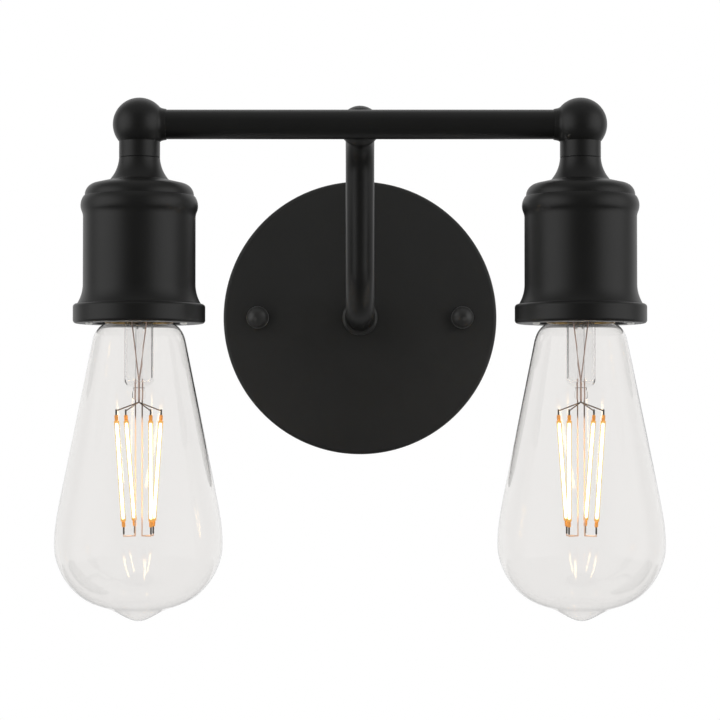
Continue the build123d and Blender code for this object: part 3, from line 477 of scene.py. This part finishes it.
# Lampholders: black phenolic pressings in two halves, screwed together on the nipple, with a rolled brass
# screw shell and a sprung brass centre contact riveted to the floor between them.
# Pressed phenolic: brown black with a dull, faintly grained skin.
phenolic, tree, place = start("black_phenolic")
grain = noise(tree, place, size=0.7, detail=3.0)
haze = spread(tree, grain, low=0.38, high=0.52)
surface(tree, {"Base Color": linear("#1c1a19"), "Roughness": haze})

# Rolled brass: yellow metal with faint bands round the shell, 2.5 mm apart, from the rolling. A wave
# texture turns by 20 for each unit of its scale.
shell_brass, tree, place = start("shell_brass")
band_gap = 2.5133
band_scale = 2 * pi / 20 * 1000 / band_gap
bands = add(tree, "TexWave", {"Vector": place, "bands_direction": "Z", "Scale": band_scale,
                              "Distortion": 0.4})
haze = spread(tree, bands.node.outputs[1], low=0.26, high=0.38)
surface(tree, {"Base Color": linear("#c9a660"), "Metallic": 1.0, "Roughness": haze})
for side_name, _ in sides:
    dress(phenolic, f"{side_name}_holder_cap", f"{side_name}_holder_body")
    dress(zinc, f"{side_name}_holder_screws")
    dress(shell_brass, f"{side_name}_screw_shell", f"{side_name}_centre_contact")


# Bulb caps: thin brass drawn into a skirt and rolled into a screw thread, cemented on the glass, with a
# dark glass insulator, a solder tip and the driver board inside.
skirt_radius, cap_wall, skirt_bottom, thread_bottom, thread_top = 13.3, 0.4, -6.4, -2.2, 13.3
thread_core, thread_crest, pitch, ridge_z = 12.35, 13.05, 3.629, -0.6
skirt_edge, skirt_shoulder = 0.12, 0.35


def cap_grid(rows=90, steps=96):
    """Screw cap: a skirt, then a thread whose radius is the mean of core and crest plus half their
    difference times the cosine of height over pitch less the angle's share of a turn, fading out at both
    ends; then the bore."""
    angle = np.linspace(0, 2 * pi, steps, endpoint=False)
    skirt_bore, thread_bore = skirt_radius - cap_wall, thread_core - cap_wall
    step_z = thread_bottom - cap_wall
    skirt = rounded([(skirt_bore, skirt_bottom, skirt_edge), (skirt_radius, skirt_bottom, skirt_edge),
                     (skirt_radius, thread_bottom, skirt_shoulder), (thread_core, thread_bottom)])[:-1]
    bore = np.array([(thread_bore, thread_top), (thread_bore, step_z), (skirt_bore, step_z), skirt[0]])
    height = np.linspace(thread_bottom, thread_top, rows)[:, None]
    swell = 0.5 + 0.5 * np.cos(2 * pi * (height - ridge_z) / pitch - angle)
    ends = np.minimum(height - thread_bottom, thread_top - height) / (pitch / 2)
    radius = thread_core + (thread_crest - thread_core) * swell * np.clip(ends, 0, 1)
    thread = np.stack([radius * np.cos(angle), radius * np.sin(angle), np.repeat(height, steps, 1)], -1)
    return np.concatenate([turned(skirt, steps), thread, turned(bore, steps)])


# Drawn cap brass: pale yellow metal, softly bright, with cloudy stains from the cement.
cap_brass, tree, place = start("cap_brass")
stain = noise(tree, place, size=5, detail=3.0)
tone = blend(tree, stain, "#c8a566", "#dcc08a")
haze = spread(tree, stain, low=0.22, high=0.34)
surface(tree, {"Base Color": tone, "Metallic": 1.0, "Roughness": haze})

# Soft solder: grey metal that froze in a dull, slightly lumpy dome.
solder, tree, place = start("solder")
lumps = noise(tree, place, size=1.8, detail=2.0)
dent = add(tree, "Bump", {"Strength": 0.3, "Distance": 0.0001, "Height": lumps})
surface(tree, {"Base Color": linear("#a9a9a6"), "Metallic": 1.0, "Roughness": 0.36, "Normal": dent})

# Cast insulator glass: opaque violet black with a fire polished gloss.
insulator_glass, tree, place = start("insulator_glass")
swirl = noise(tree, place, size=3, detail=2.0)
tone = blend(tree, swirl, "#17151b", "#26222c")
surface(tree, {"Base Color": tone, "Roughness": 0.12, "IOR": 1.52})

# Printed board: glass cloth laminate under green solder resist, its weave 0.5 mm apart.
board, tree, place = start("circuit_board")
weave = add(tree, "TexChecker", {"Vector": place, "Scale": 1000 / 0.5,
                                 "Color1": linear("#2f6b45"), "Color2": linear("#27593a")})
surface(tree, {"Base Color": weave, "Roughness": 0.35})
for side_name, side in sides:
    cap = skin(f"{side_name}_screw_cap", cap_grid() + (side * lamp_x, bar_y, 0))
    fit(cap, cap_brass, "cap_brass", f"{side_name}_bulb", f"{side_name}_bulb_cap")
    dress(solder, f"{side_name}_bulb_tip")
    dress(insulator_glass, f"{side_name}_bulb_insulator")
    dress(board, f"{side_name}_driver_board")


# Stems: a flared glass tube sealed into the neck of each bulb, pinched shut at its lower end round the
# lead wires, with a thin exhaust rod in its middle and the filaments' support wires standing in the pinch.
stem_flare = [(11.75, -3.0), (11.75, -3.6), (6.6, -4.4, 0.8)]
stem_tube = [(5.6, -5.6, 0.8), (5.6, -30.5, 2.6)]
stem_waist = [(2.2, -31.7, 0.6), (2.2, -32.9, 0.3)]
stem_pinch = [(2.6, -33.1, 0.3), (2.6, -36.4, 1.3), (0.0, -36.4)]
stem_bore = [(0.0, -29.4), (4.9, -29.4, 1.7), (4.9, -4.6, 0.8), (6.2, -3.6, 0.6), (10.9, -3.0)]
stem_outline = closed(rounded(stem_flare + stem_tube + stem_waist + stem_pinch + stem_bore))
exhaust_radius, exhaust_foot, exhaust_top = 1.35, -29.3, -4.0
exhaust_outline = [
    (0.0, exhaust_foot), (exhaust_radius, exhaust_foot), (exhaust_radius, exhaust_top), (0.0, exhaust_top),
]

# Stem glass: clear, and a little smoky where the eye looks along its wall.
stem_glass, tree, _ = start("stem_glass")
glass = add(tree, "BsdfPrincipled", {"Base Color": linear("#ffffff"), "Roughness": 0.02, "IOR": 1.12,
                                     "Transmission Weight": 0.97})
smoke = add(tree, "VolumeAbsorption", {"Color": linear("#c9c3c0"), "Density": 16.0})
add(tree, "OutputMaterial", {"Surface": glass, "Volume": smoke})

# Drawn nickel wire, copper clad below the spider: pale in the stem, dark at the spider, rose along the
# posts, with a change of colour over about 1 mm.
post_top, spider_foot, spider_top, lead_foot = -44.0, -42.5, -37.0, -36.0
nickel, tree, place = start("nickel_wire")
oxide = noise(tree, place, size=3, detail=2.0)
height = add(tree, "SeparateXYZ", {0: place}).node.outputs["Z"]
upper = add(tree, "MapRange", {"Value": height, "From Min": post_top / 1000, "From Max": spider_foot / 1000})
sealed = add(tree, "MapRange", {"Value": height, "From Min": spider_top / 1000, "From Max": lead_foot / 1000})
lead = blend(tree, sealed, blend(tree, oxide, "#5f534c", "#93806f"), "#c9ada0")
tone = blend(tree, upper, "#f0cfb6", lead)
surface(tree, {"Base Color": tone, "Metallic": 1.0, "Roughness": 0.4})
for side_name, side in sides:
    axis = (side * lamp_x, bar_y, 0)
    tube, exhaust = turned(stem_outline, steps=72) + axis, turned(exhaust_outline, steps=48) + axis
    stem = skin(f"{side_name}_stem_tube", tube, exhaust)
    fit(stem, stem_glass, "stem_glass", f"{side_name}_bulb", f"{side_name}_glass_stem")
    dress(nickel, f"{side_name}_support_wires")


# Filaments: four strips of tiny light emitting chips in each bulb, coated with a yellow phosphor in
# silicone; lit, the strip glows white inside a yellow sleeve, and its unlit ends stay orange.
filament_top, filament_foot = -42.3, -85.6
top_circle, top_angles = 9.8, (33, 303, 127, 213)
foot_circle, foot_angles = 6.2, (30, 325, 110, 208)
end_length, end_radius, sleeve_radius, core_radius, core_gap = 2.2, 0.7, 1.0, 0.45, 1.0
tab_radius, top_tab, foot_tab = 0.35, 2.2, 2.8

# Lit chips: a warm white glow too bright to show a form.
glowing, tree, _ = start("lit_chips")
light = add(tree, "Emission", {"Color": linear("#ffd9a0"), "Strength": 42.0})
add(tree, "OutputMaterial", {"Surface": light})

# Lit coating: pale yellow over the chips, running out to amber in the last 4 mm at both ends.
amber_start, amber_end = 15.8, 19.5
sleeve, tree, place = start("filament_coating")
height = add(tree, "SeparateXYZ", {0: place}).node.outputs["Z"]
middle = (filament_top + filament_foot) / 2000
off = add(tree, "Math", {"operation": "ABSOLUTE", 0: add(tree, "Math", {0: height, 1: -middle})})
amber = add(tree, "MapRange", {"Value": off, "From Min": amber_start / 1000, "From Max": amber_end / 1000})
clear = add(tree, "BsdfTransparent", {})
light = add(tree, "Emission", {"Color": blend(tree, amber, "#ffe8b2", "#f7b04a"), "Strength": 1.0})
cover = spread(tree, amber, low=0.65, high=0.85)
add(tree, "OutputMaterial", {"Surface": add(tree, "MixShader", {0: cover, 1: clear, 2: light})})

# Stamped tabs: nickel iron strip, oxidised dark grey by the welding heat.
tab_metal, tree, place = start("oxidised_tab_metal")
scale = noise(tree, place, size=0.8, detail=2.0)
tone = blend(tree, scale, "#3d3935", "#6f6861")
surface(tree, {"Base Color": tone, "Metallic": 1.0, "Roughness": 0.45})

# Unlit phosphor: amber silicone over the last chips, lit from inside by their glow.
phosphor, tree, place = start("unlit_phosphor")
grain = noise(tree, place, size=0.5, detail=2.0)
tone = blend(tree, grain, "#dd8d33", "#eda64e")
surface(tree, {"Base Color": tone, "Roughness": 0.5,
               "Emission Color": linear("#e8922f"), "Emission Strength": 0.3})


def round_bulb(side, radius, angle, height):
    """A point at a radius and an angle round a bulb's axis; angle 0 looks to the middle of the light, so
    the bulbs mirror each other."""
    turn = radians(angle)
    return np.array([side * (lamp_x - radius * np.cos(turn)), bar_y + radius * np.sin(turn), height])


def rod(begin, end, radius, steps=20):
    """A round rod with softened ends between two points: rings across its heading, closed at both ends."""
    heading = (end - begin) / np.linalg.norm(end - begin)
    one = np.cross(heading, (0, 1, 0))
    one /= np.linalg.norm(one)
    two = np.cross(heading, one)
    angle = np.linspace(0, 2 * pi, steps, endpoint=False)[:, None]
    spoke = np.cos(angle) * one + np.sin(angle) * two
    soft = min(radius * 0.4, 0.3)
    ease = 0.3 * soft
    size = np.array([0.0, radius - soft, radius - ease, radius, radius, radius - ease, radius - soft, 0.0])
    run = np.array([0.0, 0.0, ease, soft, -soft, -ease, 0.0, 0.0])
    spots = np.where(np.arange(8)[:, None] < 4, begin, end) + run[:, None] * heading
    return spots[:, None] + size[:, None, None] * spoke


for side_name, side in sides:
    chips, sleeves, ends, tabs = [], [], [], []
    for top_angle, foot_angle in zip(top_angles, foot_angles):
        top = round_bulb(side, top_circle, top_angle, filament_top)
        foot = round_bulb(side, foot_circle, foot_angle, filament_foot)
        along = (foot - top) / np.linalg.norm(foot - top)
        lit_top, lit_foot = top + end_length * along, foot - end_length * along
        chips.append(rod(lit_top + core_gap * along, lit_foot - core_gap * along, core_radius))
        sleeves.append(rod(lit_top, lit_foot, sleeve_radius))
        ends += [rod(top, lit_top, end_radius), rod(lit_foot, foot, end_radius)]
        tabs += [rod(top + (0, 0, top_tab), top, tab_radius), rod(foot, foot - (0, 0, foot_tab), tab_radius)]
    body = f"{side_name}_bulb"
    lit_chips = skin(f"{side_name}_filament_chips", *chips)
    fit(lit_chips, glowing, "filament_coating", body, f"{side_name}_filaments")
    fit(skin(f"{side_name}_filament_sleeves", *sleeves), sleeve, "filament_coating", body)
    fit(skin(f"{side_name}_filament_ends", *ends), phosphor, "filament_coating", body)
    fit(skin(f"{side_name}_filament_tabs", *tabs), tab_metal, "nickel_wire", body)


# Bulb glass: clear soda lime glass blown in a mould, a straight neck in the cap, a long cone, a round bowl
# and a small pip at the tip. Points are (r, z); those of the bowl and the pip are (r, rise above the tip).
glass_wall, tip_z = 0.4, -122.0
neck_out, neck_rows, neck_turn = 12.6, (-2.6, -4.6), -6.4
swell_point, cone_start, cone_stop, widest_point = (16.2, -9.2), (18.2, -14.4), (30.0, -73.0), (32.5, -92.5)
bowl_side, bowl_floor = (24.5, 11.5), (15.8, 6.1)
pip_outside = [(10.8, 4.45), (6.0, 2.0), (0, 0)]
pip_inside = [(10.5, 4.3), (5.8, 1.9), (0, 0)]


def faired(points, first_heading, last_heading, steps=24):
    """Smooth curve through points: cubics over chord lengths whose slopes at the points solve equal
    bending on both sides of each, with the end headings given."""
    points = np.array(points, float)
    span = np.linalg.norm(np.diff(points, axis=0), axis=1)
    count = len(points)
    system, target = np.eye(count), np.zeros((count, 2))
    target[0] = np.array(first_heading) / np.linalg.norm(first_heading)
    target[-1] = np.array(last_heading) / np.linalg.norm(last_heading)
    slopes = np.diff(points, axis=0) / span[:, None]
    for i in range(1, count - 1):
        system[i, i - 1:i + 2] = span[i], 2 * (span[i - 1] + span[i]), span[i - 1]
        target[i] = 3 * (span[i] * slopes[i - 1] + span[i - 1] * slopes[i])
    slope = np.linalg.solve(system, target)
    t = np.linspace(0, 1, steps, endpoint=False)[:, None]
    rows = [(1 + 2 * t) * (1 - t) ** 2 * points[i] + t * (1 - t) ** 2 * span[i] * slope[i]
            + t ** 2 * (3 - 2 * t) * points[i + 1] + t ** 2 * (t - 1) * span[i] * slope[i + 1]
            for i in range(count - 1)]
    return np.vstack([*rows, points[-1:]])


def glass_line(inset, pip):
    """The glass's half outline from neck to tip, through the pip's points: radii moved in by the inset, or
    by a part of it towards the tip, and the tip raised by it."""
    neck, low = neck_out - inset, tip_z + inset
    cone_top, cone_end, widest = [(r - inset, z) for r, z in (cone_start, cone_stop, widest_point)]
    swell = (swell_point[0] - inset, swell_point[1] - inset / 2)
    side = (bowl_side[0] - inset / 2, low + bowl_side[1])
    floor = (bowl_floor[0] - inset / 3, low + bowl_floor[1])
    swelling, cone, inwards = (2, -1), np.subtract(cone_end, cone_top), (-1, 0)
    return np.vstack([
        [(neck, z) for z in neck_rows],
        faired([(neck, neck_turn - inset / 2), swell, cone_top], swelling, cone),
        faired([cone_end, widest], cone, down),
        faired([widest, side, floor, *[(r, low + rise) for r, rise in pip]], down, inwards)[1:],
    ])


# Clear lamp glass: no colour face on, a faint grey green where the eye looks along the wall.
lamp_glass, tree, _ = start("clear_glass")
glass = add(tree, "BsdfPrincipled", {"Base Color": linear("#f5f4f3"), "Roughness": 0.0, "IOR": 1.32,
                                     "Transmission Weight": 1.0})
tint = add(tree, "VolumeAbsorption", {"Color": linear("#cfd3cd"), "Density": 12.0})
add(tree, "OutputMaterial", {"Surface": glass, "Volume": tint})
outside = glass_line(0.0, pip_outside)
inside = glass_line(glass_wall, pip_inside)
glass_outline = closed(np.vstack([outside, inside[::-1]]))
for side_name, side in sides:
    blown = turned(glass_outline, steps=160) + (side * lamp_x, bar_y, 0)
    envelope = skin(f"{side_name}_glass_envelope", blown)
    fit(envelope, lamp_glass, "clear_glass", f"{side_name}_bulb", f"{side_name}_bulb_glass")


# Studio: a pale floor well below the light, a white surround, two tall soft boxes at the sides and a
# camera at the photograph's height, distance and tilt. Sizes are in metres.
scene = bpy.context.scene
scene.view_settings.view_transform = "Standard"


def soft_step(tree, value, begin, end, low=0.0, high=1.0):
    """Low up to the begin, high past the end, and an S curve between."""
    return add(tree, "MapRange", {"interpolation_type": "SMOOTHSTEP", "Value": value, "From Min": begin,
                                  "From Max": end, "To Min": low, "To Max": high})


def rays(tree):
    """Whether a ray comes by a mirroring surface, and whether it is seen directly or through glass."""
    seen = tree.nodes.new("ShaderNodeLightPath").outputs
    straight, through = seen["Is Camera Ray"], seen["Is Transmission Ray"]
    return seen["Is Glossy Ray"], add(tree, "Math", {"operation": "MAXIMUM", 0: straight, 1: through})


# Floor paint: matt pale grey to the lamps, white to the eye, and a dim fading grey in the black coat.
floor_half, floor_z = 3.0, -1.2
floor_corners = [(floor_half * x, floor_half * y, floor_z) for x, y in ((-1, -1), (1, -1), (1, 1), (-1, 1))]
floor_mesh = bpy.data.meshes.new("studio_floor")
floor_mesh.from_pydata(floor_corners, [], [(0, 1, 2, 3)])
floor = bpy.data.objects.new("studio_floor", floor_mesh)
scene.collection.objects.link(floor)
floor_paint, tree, place = start("pale_floor_paint")
glossy, direct = rays(tree)
matt = add(tree, "BsdfPrincipled", {"Base Color": linear("#dcdcda"), "Roughness": 0.8})
reach = add(tree, "SeparateXYZ", {0: place}).node.outputs["Y"]
shade = soft_step(tree, reach, begin=-0.5, end=0.3, low=0.1, high=0.3)
mirrored = add(tree, "Emission", {"Color": linear("#ffffff"), "Strength": shade})
white = add(tree, "Emission", {"Color": linear("#ffffff"), "Strength": 1.0})
paint = add(tree, "MixShader", {0: glossy, 1: matt, 2: mirrored})
add(tree, "OutputMaterial", {"Surface": add(tree, "MixShader", {0: direct, 1: paint, 2: white})})
floor.data.materials.append(floor_paint)

# White surround: white to the eye and an even pale light, while the black coat mirrors a bright wall
# behind the light, a pale band at each side and a faint ceiling.
even_level = 0.75
world = bpy.data.worlds.new("white_studio")
scene.world = world
world.use_nodes = True
tree = world.node_tree
tree.nodes.clear()
glossy, direct = rays(tree)
toward = tree.nodes.new("ShaderNodeTexCoord").outputs["Generated"]
across, depth, above = add(tree, "SeparateXYZ", {0: toward}).node.outputs
off_middle = add(tree, "Math", {"operation": "ABSOLUTE", 0: across})
off_level = add(tree, "Math", {"operation": "ABSOLUTE", 0: above})
back_wall = soft_step(tree, depth, begin=0.1, end=0.8, low=0.06, high=0.9)
side_band = soft_step(tree, off_middle, begin=0.32, end=0.8)
towards_eye = soft_step(tree, depth, begin=0.3, end=-0.1)
near_level = soft_step(tree, off_level, begin=0.85, end=0.4)
for share in (towards_eye, near_level):
    side_band = add(tree, "Math", {"operation": "MULTIPLY", 0: side_band, 1: share})
ceiling = soft_step(tree, above, begin=0.5, end=1.0, high=0.25)
glow = add(tree, "Math", {0: add(tree, "Math", {0: back_wall, 1: side_band}), 1: ceiling})
level = add(tree, "Mix", {0: glossy, 2: even_level, 3: glow})
surround = add(tree, "Background", {"Color": linear("#ffffff"), "Strength": level})
white = add(tree, "Background", {"Color": linear("#ffffff"), "Strength": 1.0})
add(tree, "OutputWorld", {"Surface": add(tree, "MixShader", {0: direct, 1: surround, 2: white})})


def soft_box(name, azimuth, height, distance, width, tall, radiance, middle_y=-0.1):
    """A rectangular lamp that faces the light from an azimuth off the camera's side; its power is pi times
    its area times its brightness."""
    lamp = bpy.data.lights.new(name, "AREA")
    lamp.shape, lamp.size, lamp.size_y = "RECTANGLE", width, tall
    lamp.energy = pi * width * tall * radiance
    box = bpy.data.objects.new(name, lamp)
    turn = radians(azimuth)
    box.location = (distance * np.sin(turn), middle_y - distance * np.cos(turn), height)
    box.rotation_euler = (pi / 2 - atan(height / distance), 0, turn)
    box.visible_camera = False
    box.visible_transmission = False
    box.visible_glossy = False
    scene.collection.objects.link(box)


for side_name, side in sides:
    soft_box(f"{side_name}_soft_box", azimuth=50 * side, height=0.5, distance=1.6,
             width=1.0, tall=1.6, radiance=1.6)

focal_px, image_px, horizon_row, sensor_mm = 2224.0, 720, 414.0, 36.0
camera_y, camera_z = -0.988, -0.0419
camera_data = bpy.data.cameras.new("photo_camera")
camera_data.sensor_width = sensor_mm
camera_data.lens = sensor_mm * focal_px / image_px
camera_data.clip_start = 0.01
camera = bpy.data.objects.new("photo_camera", camera_data)
camera.location = (0.0, camera_y, camera_z)
camera.rotation_euler = (pi / 2 + atan((horizon_row - image_px / 2) / focal_px), 0, 0)
scene.collection.objects.link(camera)
scene.camera = camera
